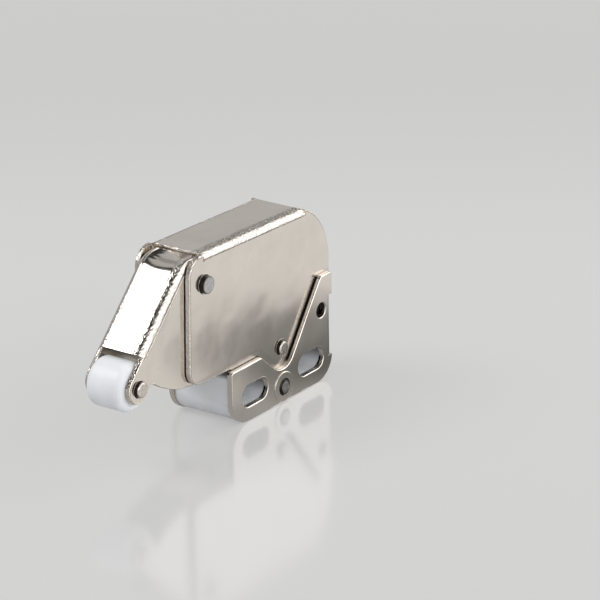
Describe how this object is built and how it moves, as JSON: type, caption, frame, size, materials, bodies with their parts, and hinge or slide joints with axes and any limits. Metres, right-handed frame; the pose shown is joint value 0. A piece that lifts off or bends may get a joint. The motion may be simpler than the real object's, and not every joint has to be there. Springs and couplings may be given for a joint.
{
  "type": "push-to-open roller latch",
  "caption": "Folded steel push latch for cabinet doors: a rocking casing holds a sprung roller lever and a hooked pawl.",
  "frame": {"origin": "midway between the two screw slots, on the outer face of the bracket plate that lies on the cabinet", "axes": "+Y into the cabinet wall along the screws, +X along the slots away from the roller, +Z from the slots to the casing's top"},
  "size_m": [0.0628, 0.0155, 0.0366],
  "materials": {
    "mounting_bracket": "nickel-plated steel sheet, light orange peel",
    "cam_block": "white nylon",
    "pivot_rivet": "dark steel",
    "casing": "nickel-plated steel sheet, light orange peel",
    "lever_pivot_pin": "dark steel",
    "pawl_pin": "nickel-plated steel",
    "lever_spring": "spring wire",
    "pawl_spring": "spring wire",
    "pawl_spacer_near": "white nylon",
    "pawl_spacer_far": "white nylon",
    "pawl": "hardened steel",
    "lever": "nickel-plated steel sheet, light orange peel",
    "catch_pin": "hardened steel",
    "roller_pin": "nickel-plated steel",
    "roller": "white nylon"
  },
  "bodies": {
    "base": {"mounting_bracket": "mounting_bracket", "cam_block": "cam_block", "pivot_rivet": "pivot_rivet"},
    "housing": {"casing": "casing", "lever_pivot_pin": "lever_pivot_pin", "pawl_pin": "pawl_pin", "lever_spring": "lever_spring", "pawl_spring": "pawl_spring", "pawl_spacer_near": "pawl_spacer_near", "pawl_spacer_far": "pawl_spacer_far"},
    "arm": {"lever": "lever", "catch_pin": "catch_pin", "roller_pin": "roller_pin"},
    "wheel": {"roller": "roller"},
    "hook": {"pawl": "pawl"}
  },
  "joints": [
    {"name": "casing_rock", "type": "hinge", "parent": "base", "child": "housing", "pos_m": [0, -0.0075, -0.00197], "axis": [0, 1, 0], "range_deg": [0, 3], "stiffness_Nm_per_rad": 0.5, "springref_deg": -1.15},
    {"name": "lever_swing", "type": "hinge", "parent": "housing", "child": "arm", "pos_m": [-0.0224, -0.0075, 0.0258], "axis": [0, -1, 0], "range_deg": [0, 45], "stiffness_Nm_per_rad": 0.06, "springref_deg": -17.19, "deforming": ["lever_spring"]},
    {"name": "roller_spin", "type": "hinge", "parent": "arm", "child": "wheel", "pos_m": [-0.041, -0.0075, 0.0112], "axis": [0, 1, 0], "continuous": true},
    {"name": "pawl_turn", "type": "hinge", "parent": "housing", "child": "hook", "pos_m": [0.0009, -0.0075, 0.0055], "axis": [0, 1, 0], "range_deg": [0, 12], "deforming": ["pawl_spring"]}
  ]
}
